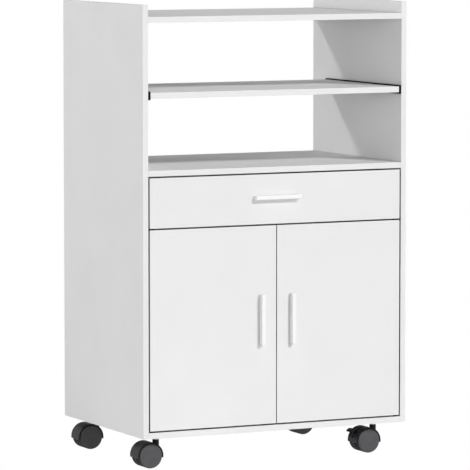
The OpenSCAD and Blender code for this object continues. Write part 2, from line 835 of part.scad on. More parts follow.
module caster_screw_set() {
    color(steel) for (site = caster_sites) at_caster(site) at_plate_screws()
        translate([0, 0, plate_z]) rotate([0, -90, 0]) wood_screw(plate_t, screw_l);
}

// An outline in X and Z about the axle, extruded along Y and centred on y = 0
module along_axle(w) {
    rotate([90, 0, 0]) translate([0, 0, -w / 2]) linear_extrude(w) children();
}

// A disc about the axle that is cut off a little below it
module hood_shell(w, r) {
    along_axle(w) difference() {
        circle(r, $fn = round_fn);
        translate([-hood_r - cut, -hood_r - hood_skirt]) square([2 * (hood_r + cut), hood_r]);
    }
}

// The shell over the two wheels with the web between them, a groove round it near each
// end, and the stem that turns on the plate's pin
module hood(braked) {
    difference() {
        union() {
            hood_shell(hood_w, hood_r - hood_groove_depth);
            hood_shell(hood_w - 2 * (groove_in + groove_w), hood_r);
            for (side = [-1, 1])
                translate([0, side * (hood_w - groove_in) / 2, 0]) hood_shell(groove_in, hood_r);
            rod_y(0, -web_w / 2, 0, hub_boss_d, web_w);
            translate([caster_trail, 0, stem_low_up]) cylinder(d = stem_d, h = stem_top_up - stem_low_up);
        }
        for (y = [-web_w / 2 - caster_w, web_w / 2])
            translate([0, y, 0]) rotate([-90, 0, 0]) cylinder(r = hood_in_r, h = caster_w, $fn = round_fn);
        rod_y(0, -web_w, 0, axle_d + 2 * fit_c, 2 * web_w);
        translate([caster_trail, 0, kingpin_low_up - bore_end_c])
            cylinder(d = kingpin_d + 2 * fit_c, h = stem_top_up);
        if (braked) brake_slot();
    }
    // the lever's pin is moulded with the web, and the axle is a pin of its own in the web's bore
    if (braked) rod_y(lever_x, -lever_pin_l / 2, lever_up, lever_pin_d, lever_pin_l);
    rod_y(0, -axle_l / 2, 0, axle_d, axle_l);
}

// The slot in the web and the shell that the brake lever swings in, and the small hole below it
module brake_slot() {
    x0 = -hood_r - cut;
    z0 = lever_up - lever_hub_r - 1;
    translate([x0, -lever_slot_w / 2, z0]) cube([lever_x + lever_hub_r + 1 - x0, lever_slot_w, hood_r]);
    translate([x0, -vent_w / 2, vent_up]) cube([hood_t + 2 * cut, vent_w, vent_w]);
}

module caster_hood(site, braked) {
    color(hood_black) at_axle(site) hood(braked);
}

// One wheel, hollow on its inner face: side is -1 for the front wheel and 1 for the rear one
module caster_wheel(site, side) {
    r = wheel_r;
    w = wheel_w;
    hub_r = axle_d + 2;
    rim_r = r - 6;
    bore_r = axle_d / 2 + fit_c;
    bore_l = axle_l / 2 - wheel_in_y + bore_end_c;
    color(wheel_black) at_axle(site) rotate([side * -90, 0, 0]) translate([0, 0, wheel_in_y])
        rotate_extrude($fn = round_fn) polygon([
            [bore_r, 0], [hub_r, 0], [hub_r, 3], [rim_r, 3], [rim_r, 0], [r - 1.5, 0], [r, 1.5],
            [r, w - 3], [r - 0.5, w - 1.5], [r - 1.5, w - 1], [r - 2, w - 1], [r - 2.5, w - 0.3],
            [r / 2, w], [0, w], [0, bore_l], [bore_r, bore_l]]);
}

// The brake lever: a hub on the hood's pin, and a wide curled tab outside the shell
module brake_lever(site) {
    // outlines in hundredths of the lever's length
    arm = [[7, 12], [-26, 30], [-40, 21], [-10, -9]];
    tab = [[-26, 30], [-42, 38], [-60, 41], [-79, 36], [-93, 24], [-100, 12],
           [-94, 8], [-81, 20], [-65, 26], [-49, 23], [-33, 15]];
    color(hood_black) at_axle(site) translate([lever_x, 0, lever_up]) {
        difference() {
            along_axle(lever_hub_w) {
                circle(lever_hub_r);
                polygon([for (p = arm) p * lever_l / 100]);
            }
            rod_y(0, -lever_w, 0, lever_pin_d + 2 * fit_c, 2 * lever_w);
        }
        along_axle(lever_w) polygon([for (p = tab) p * lever_l / 100]);
    }
}

// ---- The whole cart ----

mirror([1, 0, 0]) side_board();  // left_side_panel
side_board();  // right_side_panel
top_board();  // top_panel
worktop_board();  // worktop_panel
bottom_board();  // bottom_panel
back_board();  // back_panel
inner_board();  // inner_shelf
shelf_pin_set();  // shelf_pins
cam_lock_set();  // cam_locks
cam_bolt_set();  // cam_bolts
dowel_set();  // dowels
mirror([1, 0, 0]) shelf_rail();  // left_shelf_rail
shelf_rail();  // right_shelf_rail
runner_channel();  // drawer_runners
board_screw_set();  // board_screws
pivot_bracket_pair();  // pivot_brackets
pivot_pin_pair();  // pivot_pins
catch_body();  // door_catch
caster_plate_set();  // caster_plates
caster_screw_set();  // caster_screws
pullout_board();  // pullout_shelf
slide_bar_pair();  // shelf_slide_bars
bar_screw_set();  // slide_bar_screws
drawer_face();  // drawer_front
mirror([1, 0, 0]) drawer_side();  // drawer_left_side
drawer_side();  // drawer_right_side
drawer_back_board();  // drawer_back
drawer_bottom_board();  // drawer_bottom
at_drawer_handle() bar_handle();  // drawer_handle
at_drawer_handle() handle_screw_pair();  // drawer_handle_screws
slide_angle();  // drawer_slides
drawer_screw_set();  // drawer_screws
drawer_cam_lock_set();  // drawer_cam_locks
drawer_cam_bolt_set();  // drawer_cam_bolts
front_roller_pair();  // front_rollers
rear_roller_pair();  // rear_rollers
mirror([1, 0, 0]) door_board();  // left_door
mirror([1, 0, 0]) at_door_handle() bar_handle();  // left_door_handle
mirror([1, 0, 0]) at_door_handle() handle_screw_pair();  // left_handle_screws
mirror([1, 0, 0]) strike();  // left_strike
mirror([1, 0, 0]) bushing_pair();  // left_bushings
door_board();  // right_door
at_door_handle() bar_handle();  // right_door_handle
at_door_handle() handle_screw_pair();  // right_handle_screws
strike();  // right_strike
bushing_pair();  // right_bushings
caster_hood([-1, -1], false);  // front_left_hood
caster_wheel([-1, -1], -1);  // front_left_wheel_front
caster_wheel([-1, -1], 1);  // front_left_wheel_rear
caster_hood([1, -1], true);  // front_right_hood
caster_wheel([1, -1], -1);  // front_right_wheel_front
caster_wheel([1, -1], 1);  // front_right_wheel_rear
caster_hood([-1, 1], false);  // rear_left_hood
caster_wheel([-1, 1], -1);  // rear_left_wheel_front
caster_wheel([-1, 1], 1);  // rear_left_wheel_rear
caster_hood([1, 1], true);  // rear_right_hood
caster_wheel([1, 1], -1);  // rear_right_wheel_front
caster_wheel([1, 1], 1);  // rear_right_wheel_rear
brake_lever([1, -1]);  // front_right_brake
brake_lever([1, 1]);  // rear_right_brake
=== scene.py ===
# A white kitchen cart on four twin-wheel casters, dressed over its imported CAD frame.
# The boards become edge-banded boards with soft arrises, the screws get their cross
# recesses, and every surface gets the finish of the real one.
# Everything is in metres in the frame's axes: +Z up, fronts face -Y, +X to the right.
import json
import math

import bmesh
import bpy
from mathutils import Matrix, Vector


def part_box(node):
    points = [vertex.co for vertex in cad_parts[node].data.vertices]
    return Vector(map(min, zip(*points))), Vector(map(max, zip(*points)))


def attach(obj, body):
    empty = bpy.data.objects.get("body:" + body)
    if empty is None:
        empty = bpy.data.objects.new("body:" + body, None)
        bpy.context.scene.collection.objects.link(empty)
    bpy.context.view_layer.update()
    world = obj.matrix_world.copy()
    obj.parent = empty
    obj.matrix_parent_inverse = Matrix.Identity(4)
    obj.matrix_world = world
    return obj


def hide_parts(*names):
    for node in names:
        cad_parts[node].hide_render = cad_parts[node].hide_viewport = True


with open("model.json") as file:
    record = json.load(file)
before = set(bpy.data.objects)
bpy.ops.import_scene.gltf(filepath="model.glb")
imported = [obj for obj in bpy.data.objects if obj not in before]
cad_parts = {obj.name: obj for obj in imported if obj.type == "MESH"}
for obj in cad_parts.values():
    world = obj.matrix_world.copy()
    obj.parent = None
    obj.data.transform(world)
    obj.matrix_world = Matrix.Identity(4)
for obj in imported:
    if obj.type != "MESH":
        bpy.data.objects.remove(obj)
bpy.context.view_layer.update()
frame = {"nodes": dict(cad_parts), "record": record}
nodes = frame["nodes"]
record = frame["record"]
scene = bpy.context.scene

MM = 0.001
AXES = range(3)


# ---------------------------------------------------------------- colours and nodes

NOISE = "ShaderNodeTexNoise"
RAMP = "ShaderNodeValToRGB"
SPREAD = "ShaderNodeMapRange"  # a value from 0 to 1 spread over a range
BUMP = "ShaderNodeBump"
MATH = "ShaderNodeMath"
POINT = "ShaderNodeCombineXYZ"
SHIFT = "GeometryNodeTransform"


def linear(hex_colour):
    """An sRGB hex colour as the linear RGBA that Blender's sockets take."""
    channels = [int(hex_colour[i:i + 2], 16) / 255 for i in (1, 3, 5)]
    return tuple(c / 12.92 if c <= 0.04045 else ((c + 0.055) / 1.055) ** 2.4 for c in channels) + (1.0,)


def per_mm(size_mm):
    """The scale of a pattern whose lumps are about this size."""
    return 1 / (size_mm * MM)


def add(tree, kind, inputs=None, stops=(), **settings):
    """One node of a tree. inputs maps a socket to a value, an output, a node or a list of nodes;
    stops are a colour ramp's positions and hex colours."""
    node = tree.nodes.new(kind)
    for name, value in settings.items():
        setattr(node, name, value)
    for key, value in (inputs or {}).items():
        socket = node.inputs[key]
        for source in value if isinstance(value, list) else [value]:
            if isinstance(source, bpy.types.Node):
                source = source.outputs[0]
            if isinstance(source, bpy.types.NodeSocket):
                tree.links.new(source, socket)
            else:
                socket.default_value = source
    while stops and len(node.color_ramp.elements) < len(stops):
        node.color_ramp.elements.new(0.5)
    for number, (position, colour) in enumerate(stops):
        node.color_ramp.elements[number].position = position
        node.color_ramp.elements[number].color = linear(colour)
    return node


def new_material(name):
    """An empty material: its tree, its coordinates on the object, and a function that ends it."""
    material = bpy.data.materials.new(name)
    material.use_nodes = True
    tree = material.node_tree
    tree.nodes.clear()
    place = add(tree, "ShaderNodeTexCoord").outputs["Object"]

    def finish(**sockets):
        inputs = {name.replace("_", " "): value for name, value in sockets.items()}
        shader = add(tree, "ShaderNodeBsdfPrincipled", inputs)
        add(tree, "ShaderNodeOutputMaterial", {"Surface": shader})
        return material

    return tree, place, finish


# ---------------------------------------------------------------- materials

JOINT_REACH = 5 * MM  # a surface with another this near in front of it lies in a joint, where its colour gets painted shade


def painted_joint_shade(tree, colour):
    """The colour with painted shade: darkened by ambient occlusion where two boards leave a gap of a few
    millimetres that hardly any light enters.
    """
    open_share = add(tree, "ShaderNodeAmbientOcclusion", {"Distance": JOINT_REACH}, samples=8)
    # painted shade: near black where little of the surroundings is open, full colour where most of it is
    shade = add(tree, RAMP, {"Fac": open_share.outputs["AO"]}, stops=[(0.35, "#141414"), (0.55, "#FFFFFF")])
    shaded = add(tree, "ShaderNodeMix", {"Factor": 1.0, 6: colour, 7: shade},
                 data_type="RGBA", blend_type="MULTIPLY")
    return shaded.outputs[2]


def melamine():
    """White melamine film on particle board, pressed with a fine pearl grain: an even satin white."""
    tree, place, finish = new_material("white_melamine_pearl_grain")
    # the real grain is 0.3 mm, drawn 0.8 mm so that it shows from a step away
    grain = add(tree, NOISE, {"Vector": place, "Scale": per_mm(0.8), "Detail": 3.0})
    cloud = add(tree, NOISE, {"Vector": place, "Scale": per_mm(120)})
    colour = add(tree, RAMP, {"Fac": cloud}, stops=[(0.3, "#E5E5E5"), (0.7, "#E8E8E8")])
    return finish(
        # the film's colour carries painted shade in narrow gaps
        Base_Color=painted_joint_shade(tree, colour),
        Roughness=add(tree, SPREAD, {"Value": grain, "To Min": 0.68, "To Max": 0.8}),
        Specular_IOR_Level=0.05,
        Normal=add(tree, BUMP, {"Height": grain, "Distance": 0.012 * MM}),
    )


def edge_band():
    """Extruded ABS edge band, glued on and buffed: smoother than the film, drawn along its length."""
    tree, place, finish = new_material("white_abs_edge_band")
    drawn = add(tree, "ShaderNodeMapping", {"Vector": place, "Scale": (1, 1, 0.04)})
    lines = add(tree, NOISE, {"Vector": drawn, "Scale": per_mm(0.6)})
    cloud = add(tree, NOISE, {"Vector": place, "Scale": per_mm(60)})
    colour = add(tree, RAMP, {"Fac": cloud}, stops=[(0.3, "#E7E7E7"), (0.7, "#EAEAEA")])
    return finish(
        # the band's colour carries painted shade in narrow gaps
        Base_Color=painted_joint_shade(tree, colour),
        Roughness=add(tree, SPREAD, {"Value": lines, "To Min": 0.30, "To Max": 0.40}),
        Specular_IOR_Level=0.1,
        Normal=add(tree, BUMP, {"Height": lines, "Distance": 0.006 * MM}),
    )


def particle_board():
    """Pressed wood chips of 1.6 mm, rough and brown, seen where a groove or hole is cut through the film."""
    tree, place, finish = new_material("cut_particle_board")
    chips = add(tree, "ShaderNodeTexVoronoi", {"Vector": place, "Scale": per_mm(1.6)}).outputs
    colour = add(tree, RAMP, {"Fac": chips["Color"]},
                 stops=[(0.1, "#8F6E48"), (0.5, "#C2A074"), (0.9, "#DCC49B")])
    return finish(
        Base_Color=colour,
        Roughness=0.9,
        Normal=add(tree, BUMP, {"Height": chips["Distance"], "Distance": 0.25 * MM}),
    )


def lacquered_hdf():
    """Thin hardboard with a rolled white lacquer, flatter and a little greyer than the melamine."""
    tree, place, finish = new_material("white_lacquered_hardboard")
    rolled = add(tree, NOISE, {"Vector": place, "Scale": per_mm(2.5), "Detail": 4.0})
    colour = add(tree, RAMP, {"Fac": rolled}, stops=[(0.25, "#DEDEDE"), (0.75, "#E3E3E3")])
    return finish(
        # the lacquer's colour carries painted shade in narrow gaps
        Base_Color=painted_joint_shade(tree, colour),
        Roughness=add(tree, SPREAD, {"Value": rolled, "To Min": 0.55, "To Max": 0.68}),
        Specular_IOR_Level=0.1,
        Normal=add(tree, BUMP, {"Height": rolled, "Distance": 0.02 * MM}),
    )


def handle_abs():
    """Injection-moulded ABS, polished: bright white with a soft gloss."""
    tree, place, finish = new_material("white_moulded_abs")
    flow = add(tree, NOISE, {"Vector": place, "Scale": per_mm(14)})
    waves = add(tree, NOISE, {"Vector": place, "Scale": per_mm(3)})
    return finish(
        Base_Color=add(tree, RAMP, {"Fac": flow}, stops=[(0.3, "#F2F2F2"), (0.7, "#F5F5F5")]),
        Roughness=add(tree, SPREAD, {"Value": flow, "To Min": 0.16, "To Max": 0.22}),
        IOR=1.53,
        Normal=add(tree, BUMP, {"Height": waves, "Distance": 0.004 * MM}),
    )


def bright_zinc():
    """Steel with a bright zinc plate: silvery, faintly blue, with a fine crystal frost."""
    tree, place, finish = new_material("bright_zinc_plated_steel")
    frost = add(tree, NOISE, {"Vector": place, "Scale": per_mm(1.5), "Detail": 4.0})
    colour = add(tree, RAMP, {"Fac": frost}, stops=[(0.3, "#B9BDC3"), (0.7, "#D2D5D9")])
    return finish(
        # the plate's colour carries painted shade in narrow gaps
        Base_Color=painted_joint_shade(tree, colour),
        Metallic=1.0,
        Roughness=add(tree, SPREAD, {"Value": frost, "To Min": 0.22, "To Max": 0.38}),
        Normal=add(tree, BUMP, {"Height": frost, "Distance": 0.004 * MM}),
    )


def near_black_pivot_shade():
    """The pivots' zinc-plated steel coloured near black and satin as painted shade, so that the gaps they
    sit in stay dark.
    """
    tree, place, finish = new_material("pivot_steel_painted_shade_black")
    frost = add(tree, NOISE, {"Vector": place, "Scale": per_mm(1.5), "Detail": 3.0})
    return finish(
        # painted shade: near black in place of the zinc's silver
        Base_Color=add(tree, RAMP, {"Fac": frost}, stops=[(0.3, "#141415"), (0.7, "#1D1D1E")]),
        Roughness=add(tree, SPREAD, {"Value": frost, "To Min": 0.45, "To Max": 0.6}),
        Specular_IOR_Level=0.1,
        Normal=add(tree, BUMP, {"Height": frost, "Distance": 0.006 * MM}),
    )


def black_powder_coat():
    """Roll-formed steel with a black powder coat, whose orange peel softens its sheen."""
    tree, place, finish = new_material("black_powder_coated_steel")
    peel = add(tree, NOISE, {"Vector": place, "Scale": per_mm(0.9)})
    return finish(
        Base_Color=add(tree, RAMP, {"Fac": peel}, stops=[(0.3, "#0D0D0D"), (0.7, "#131313")]),
        Roughness=add(tree, SPREAD, {"Value": peel, "To Min": 0.55, "To Max": 0.7}),
        Specular_IOR_Level=0.08,
        Normal=add(tree, BUMP, {"Height": peel, "Distance": 0.02 * MM}),
    )


def white_epoxy():
    """Roll-formed steel with a baked white epoxy coat: warm white, even, with a low sheen."""
    tree, place, finish = new_material("white_epoxy_coated_steel")
    peel = add(tree, NOISE, {"Vector": place, "Scale": per_mm(1.2)})
    return finish(
        Base_Color=add(tree, RAMP, {"Fac": peel}, stops=[(0.3, "#E6E6E1"), (0.7, "#ECECE8")]),
        Roughness=add(tree, SPREAD, {"Value": peel, "To Min": 0.3, "To Max": 0.42}),
        Normal=add(tree, BUMP, {"Height": peel, "Distance": 0.015 * MM}),
    )


def natural_nylon():
    """Moulded natural nylon: milky, waxy, a little translucent."""
    tree, place, finish = new_material("natural_moulded_nylon")
    flow = add(tree, NOISE, {"Vector": place, "Scale": per_mm(5)})
    waves = add(tree, NOISE, {"Vector": place, "Scale": per_mm(1)})
    colour = add(tree, RAMP, {"Fac": flow}, stops=[(0.3, "#E2E1D8"), (0.7, "#E9E8E1")])
    return finish(
        # the nylon's colour carries painted shade in narrow gaps
        Base_Color=painted_joint_shade(tree, colour),
        Roughness=add(tree, SPREAD, {"Value": flow, "To Min": 0.38, "To Max": 0.5}),
        Subsurface_Weight=0.15,
        Subsurface_Radius=(2 * MM, 2 * MM, 1.5 * MM),
        Normal=add(tree, BUMP, {"Height": waves, "Distance": 0.006 * MM}),
    )


def hood_nylon():
    """Black nylon moulded in a spark-eroded tool: near black with a fine satin grain."""
    tree, place, finish = new_material("black_spark_eroded_nylon")
    # the real grain is 0.1 mm, drawn 0.4 mm so that it shows
    grain = add(tree, NOISE, {"Vector": place, "Scale": per_mm(0.4), "Detail": 3.0})
    return finish(
        Base_Color=add(tree, RAMP, {"Fac": grain}, stops=[(0.3, "#0F0F10"), (0.7, "#151516")]),
        Roughness=add(tree, SPREAD, {"Value": grain, "To Min": 0.4, "To Max": 0.55}),
        Specular_IOR_Level=0.25,
        Normal=add(tree, BUMP, {"Height": grain, "Distance": 0.01 * MM}),
    )


def wheel_nylon():
    """Dark grey moulded nylon wheels: satin, a shade lighter than the hoods, with a faint clouding."""
    tree, place, finish = new_material("dark_grey_wheel_nylon")
    grain = add(tree, NOISE, {"Vector": place, "Scale": per_mm(0.4), "Detail": 3.0})
    cloud = add(tree, NOISE, {"Vector": place, "Scale": per_mm(9)})
    return finish(
        Base_Color=add(tree, RAMP, {"Fac": cloud}, stops=[(0.3, "#4A4A4C"), (0.7, "#515153")]),
        Roughness=add(tree, SPREAD, {"Value": grain, "To Min": 0.42, "To Max": 0.55}),
        Specular_IOR_Level=0.3,
        Normal=add(tree, BUMP, {"Height": grain, "Distance": 0.008 * MM}),
    )


def shaded_tread_nylon():
    """The wheels' running face: the same nylon, scuffed matt, and coloured darker as painted shade."""
    tree, place, finish = new_material("tread_nylon_painted_darker")
    scuffs = add(tree, NOISE, {"Vector": place, "Scale": per_mm(1.2), "Detail": 4.0})
    return finish(
        # painted shade: the running face coloured darker than the wheel
        Base_Color=add(tree, RAMP, {"Fac": scuffs}, stops=[(0.3, "#1D1D1E"), (0.7, "#29292A")]),
        Roughness=add(tree, SPREAD, {"Value": scuffs, "To Min": 0.6, "To Max": 0.8}),
        Specular_IOR_Level=0.1,
        Normal=add(tree, BUMP, {"Height": scuffs, "Distance": 0.03 * MM}),
    )


def beech_dowel():
    """Turned and fluted beech, pale brown with short dark flecks along the grain."""
    tree, place, finish = new_material("turned_beech")
    along = add(tree, "ShaderNodeMapping", {"Vector": place, "Scale": (0.08, 1, 1)})
    grain = add(tree, NOISE, {"Vector": along, "Scale": per_mm(0.7), "Detail": 4.0})
    return finish(
        Base_Color=add(tree, RAMP, {"Fac": grain}, stops=[(0.3, "#B98F60"), (0.7, "#D9B888")]),
        Roughness=0.7,
        Normal=add(tree, BUMP, {"Height": grain, "Distance": 0.03 * MM}),
    )


MELAMINE = melamine()
EDGE_BAND = edge_band()
PARTICLE_BOARD = particle_board()
TREAD = shaded_tread_nylon()
FINISHES = {  # material slot of the record: its finish
    "white_board": lacquered_hdf(),
    "white_handle": handle_abs(),
    "zinc_steel": bright_zinc(),
    "black_rail": black_powder_coat(),
    "white_runner": white_epoxy(),
    "white_nylon": natural_nylon(),
    "black_hood": hood_nylon(),
    "grey_wheel": wheel_nylon(),
    "beech": beech_dowel(),
}
PIVOTS = ("pivot_pins", "pivot_brackets")
PIVOT_SHADE = near_black_pivot_shade()

SLOT_OF = {row["node"]: row["material_slot"] for row in record["subparts"]}
BODY_OF = {}
for body, members in record["behaviour"]["bodies"].items():
    for member in members:
        BODY_OF[member] = body

for name, obj in nodes.items():
    obj.data.materials.clear()
    # the pivots take the near-black painted shade in place of their zinc finish
    obj.data.materials.append(PIVOT_SHADE if name in PIVOTS else FINISHES[SLOT_OF[name]])


# ---------------------------------------------------------------- pieces over CAD nodes

WELD = 0.001 * MM  # points nearer to each other than this are one


def merged_copy(node):
    """A bmesh of a CAD node whose loose triangles are welded."""
    mesh = bmesh.new()
    mesh.from_mesh(nodes[node].data)
    bmesh.ops.remove_doubles(mesh, verts=mesh.verts, dist=WELD)
    return mesh


def as_data(name, mesh):
    """A bmesh as mesh data."""
    data = bpy.data.meshes.new(name)
    mesh.to_mesh(data)
    mesh.free()
    return data


def place_piece(name, data, materials, node):
    """Makes an object of mesh data, which stands for a CAD node and rides on its body."""
    data.name = name
    data.materials.clear()
    for material in materials:
        data.materials.append(material)
    piece = bpy.data.objects.new(name, data)
    scene.collection.objects.link(piece)
    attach(piece, BODY_OF[node])
    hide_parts(node)
    return piece


LEVEL = 0.999  # a face is square to an axis when its normal holds this much of it
ARRIS = 0.5 * MM  # radius of a banded board's edges
OUTER = 0.6 * ARRIS  # faces of a board no deeper than this are its outside
ON_FACE = 0.01 * MM  # how near a point lies to the face it is on
ONE_FACE = 0.001  # triangles of a board that turn less than this, in radians, are one face
FILM, BAND, CHIPS = 0, 1, 2  # a banded board's materials


def banded_board(node):
    """A board with soft arrises: film on its two faces, edge band round it, bare chips where it is cut."""
    low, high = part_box(node)
    size = high - low
    thin = min(AXES, key=lambda axis: size[axis])
    mesh = merged_copy(node)
    bmesh.ops.dissolve_limit(mesh, angle_limit=ONE_FACE, verts=mesh.verts, edges=mesh.edges)

    def sides(point):
        """The outer faces of the board that a point lies on."""
        return {(axis, end) for axis in AXES for end, face in ((0, low), (1, high))
                if abs(point[axis] - face[axis]) < ON_FACE}

    arrises = [line for line in mesh.edges if len(sides(line.verts[0].co) & sides(line.verts[1].co)) >= 2]
    bmesh.ops.bevel(mesh, geom=arrises, offset=ARRIS, offset_type="OFFSET", segments=3, profile=0.5,
                    affect="EDGES", clamp_overlap=False)
    for face in mesh.faces:
        centre = face.calc_center_median()
        depth = min(min(centre[axis] - low[axis], high[axis] - centre[axis]) for axis in AXES)
        outside = depth < OUTER
        turned = max(AXES, key=lambda axis: abs(face.normal[axis]))
        if not outside:
            face.material_index = CHIPS
        elif turned == thin and abs(face.normal[thin]) > LEVEL:
            face.material_index = FILM
        else:
            face.material_index = BAND
        face.smooth = outside and abs(face.normal[turned]) < LEVEL
    return place_piece(node + "_banded", as_data(node, mesh), [MELAMINE, EDGE_BAND, PARTICLE_BOARD], node)


BANDED = ["left_side_panel", "right_side_panel", "top_panel", "worktop_panel", "bottom_panel", "inner_shelf",
          "pullout_shelf", "drawer_front", "drawer_left_side", "drawer_right_side", "drawer_back",
          "left_door", "right_door"]
for board in BANDED:
    banded_board(board)


# ---------------------------------------------------------------- soft edges on moulded and bent pieces

SHARP = math.radians(30)  # edges that turn more than this are edges of the real piece
SAME_PLANE = math.radians(0.5)  # triangles that turn less than this are one face


def evaluated_mesh(rough):
    """The mesh of an object after its modifiers; the object itself goes."""
    evaluated = rough.evaluated_get(bpy.context.evaluated_depsgraph_get())
    made = bpy.data.meshes.new_from_object(evaluated)
    bpy.data.objects.remove(rough)
    return made


def softened(node, radius_mm):
    """A copy of a moulded or bent piece whose sharp edges are rounded by a small radius."""
    mesh = merged_copy(node)
    bmesh.ops.dissolve_limit(mesh, angle_limit=SAME_PLANE, verts=mesh.verts, edges=mesh.edges)
    for face in mesh.faces:
        face.smooth = True
    for line in mesh.edges:
        line.smooth = line.calc_face_angle(0) < SHARP
    rough = bpy.data.objects.new(node + "_rough", as_data(node, mesh))
    scene.collection.objects.link(rough)
    edges = rough.modifiers.new("soft_edges", "BEVEL")
    edges.width = radius_mm * MM
    edges.segments = 2
    edges.limit_method = "ANGLE"
    edges.angle_limit = SHARP
    level = rough.modifiers.new("level_faces", "WEIGHTED_NORMAL")
    level.keep_sharp = True
    return place_piece(node + "_soft_edged", evaluated_mesh(rough), [FINISHES[SLOT_OF[node]]], node)


TREAD_INSIDE = 0.97  # of a wheel's radius: no face of its tread lies nearer to the axle


def tread_apart(wheel):
    """Gives a wheel's running face its own, darker material of painted shade: the faces near its rim that
    look away from the axle.
    """
    wheel.data.materials.append(TREAD)
    low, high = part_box(wheel.name.replace("_soft_edged", ""))
    axle = (low + high) / 2
    radius = (high.z - low.z) / 2
    for face in wheel.data.polygons:
        off_axle = math.hypot(face.center.x - axle.x, face.center.z - axle.z)
        if off_axle > TREAD_INSIDE * radius and abs(face.normal.y) < 0.5:
            face.material_index = 1


HANDLE_EDGE = 0.6 * MM
HANDLE_WALL = 1.5 * MM
HANDLE_BOSS = 10.5 * MM  # solid ends of the handle, round its screws


def cut_across(mesh, axis, place):
    """Adds edges to a mesh all along a plane square to an axis."""
    point = Vector((0, 0, 0))
    normal = Vector((0, 0, 0))
    point[axis] = place
    normal[axis] = 1
    everything = mesh.verts[:] + mesh.edges[:] + mesh.faces[:]
    bmesh.ops.bisect_plane(mesh, geom=everything, plane_co=point, plane_no=normal)


def bar_handle(node):
    """A moulded bar with fine crisp edges, hollow at its back between the screws' bosses."""
    low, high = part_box(node)
    middle = (low + high) / 2
    half = (high - low) / 2
    along = max((0, 2), key=lambda axis: half[axis])
    walls = {along: HANDLE_BOSS, 2 - along: HANDLE_WALL}
    mesh = bmesh.new()
    bmesh.ops.create_cube(mesh, size=1)
    for vertex in mesh.verts:
        vertex.co = Vector([low[axis] if vertex.co[axis] < 0 else high[axis] for axis in AXES])
    outer = [line for line in mesh.edges if min(v.co.y for v in line.verts) < high.y - HANDLE_EDGE]
    bmesh.ops.bevel(mesh, geom=outer, offset=HANDLE_EDGE, offset_type="OFFSET", segments=3, profile=0.5,
                    affect="EDGES")
    for axis, wall in walls.items():
        cut_across(mesh, axis, low[axis] + wall)
        cut_across(mesh, axis, high[axis] - wall)

    def is_hollow(face):
        """Whether a face of the back lies inside the walls."""
        centre = face.calc_center_median()
        inside = all(abs(centre[axis] - middle[axis]) < half[axis] - wall for axis, wall in walls.items())
        return face.normal.y > LEVEL and inside

    back = [face for face in mesh.faces if is_hollow(face)]
    pushed = bmesh.ops.extrude_face_region(mesh, geom=back)["geom"]
    bmesh.ops.delete(mesh, geom=back, context="FACES")
    for item in pushed:
        if isinstance(item, bmesh.types.BMVert):
            item.co.y = low.y + HANDLE_WALL
    bmesh.ops.recalc_face_normals(mesh, faces=mesh.faces)
    for face in mesh.faces:
        face.smooth = max(abs(part) for part in face.normal) < LEVEL
    return place_piece(node + "_moulded", as_data(node, mesh), [FINISHES[SLOT_OF[node]]], node)


for handle in ("left_door_handle", "right_door_handle", "drawer_handle"):
    bar_handle(handle)

SOFT_EDGES = {  # node: radius of its edges in mm
    "left_shelf_rail": 0.3,
    "right_shelf_rail": 0.3,
    "shelf_slide_bars": 0.3,
}
for corner in ("front_left", "front_right", "rear_left", "rear_right"):
    for part in ("_hood", "_wheel_front", "_wheel_rear"):
        SOFT_EDGES[corner + part] = 0.35
for corner in ("front_right", "rear_right"):
    SOFT_EDGES[corner + "_brake"] = 0.3
for node, radius in SOFT_EDGES.items():
    piece = softened(node, radius)
    if "_wheel_" in node:
        tread_apart(piece)


# ---------------------------------------------------------------- screws

SCREW_INPUTS = {  # named input of the tree: its kind
    "Head Diameter": "Float",
    "Head Height": "Float",
    "Shank Diameter": "Float",
    "Shank Length": "Float",
    "Thread Pitch": "Float",
    "Seed": "Int",
    "Metal": "Material",
}
RECESS_SPAN = 0.56  # of the head's diameter
RECESS_BAR = 0.13  # of the head's diameter
RECESS_DEPTH = 0.6  # of the head's height
PAN_LOSS = 0.22  # of the head's radius, at its top
CORE = 0.36  # the core's radius, of the shank's diameter
RIDGE = 0.13  # the thread's height, of the shank's diameter
THREADED = 0.9  # of the shank's length
THREAD_END = 0.95  # of the shank's length, down from the head
FULL_TURN = 6.28
HEAD_INSIDE = 0.9  # of a head's radius: points of a CAD screw further out than this are the head's


def pan_head(tree, diameter, height):
    """A short cylinder that draws in towards its top like a pan."""
    radius = add(tree, MATH, {0: diameter, 1: 2.0}, operation="DIVIDE")
    blank = add(tree, "GeometryNodeMeshCylinder", {
        "Vertices": 32, "Side Segments": 5, "Radius": radius, "Depth": height})
    half_height = add(tree, MATH, {0: height, 1: 2.0}, operation="DIVIDE")
    blank = add(tree, SHIFT, {"Geometry": blank, "Translation": add(tree, POINT, {"Z": half_height})})

    # a ring at height z loses PAN_LOSS (z / height)^4 of its radius
    place = add(tree, "GeometryNodeInputPosition")
    at = add(tree, "ShaderNodeSeparateXYZ", {0: place}).outputs
    rise = add(tree, MATH, {0: at["Z"], 1: height}, operation="DIVIDE")
    fourth_power = add(tree, MATH, {0: rise, 1: 4.0}, operation="POWER")
    lost = add(tree, MATH, {0: fourth_power, 1: PAN_LOSS}, operation="MULTIPLY")
    kept = add(tree, MATH, {0: 1.0, 1: lost}, operation="SUBTRACT")
    x = add(tree, MATH, {0: at["X"], 1: kept}, operation="MULTIPLY")
    y = add(tree, MATH, {0: at["Y"], 1: kept}, operation="MULTIPLY")
    drawn_in = add(tree, POINT, {"X": x, "Y": y, "Z": at["Z"]})
    return add(tree, "GeometryNodeSetPosition", {"Geometry": blank, "Position": drawn_in})


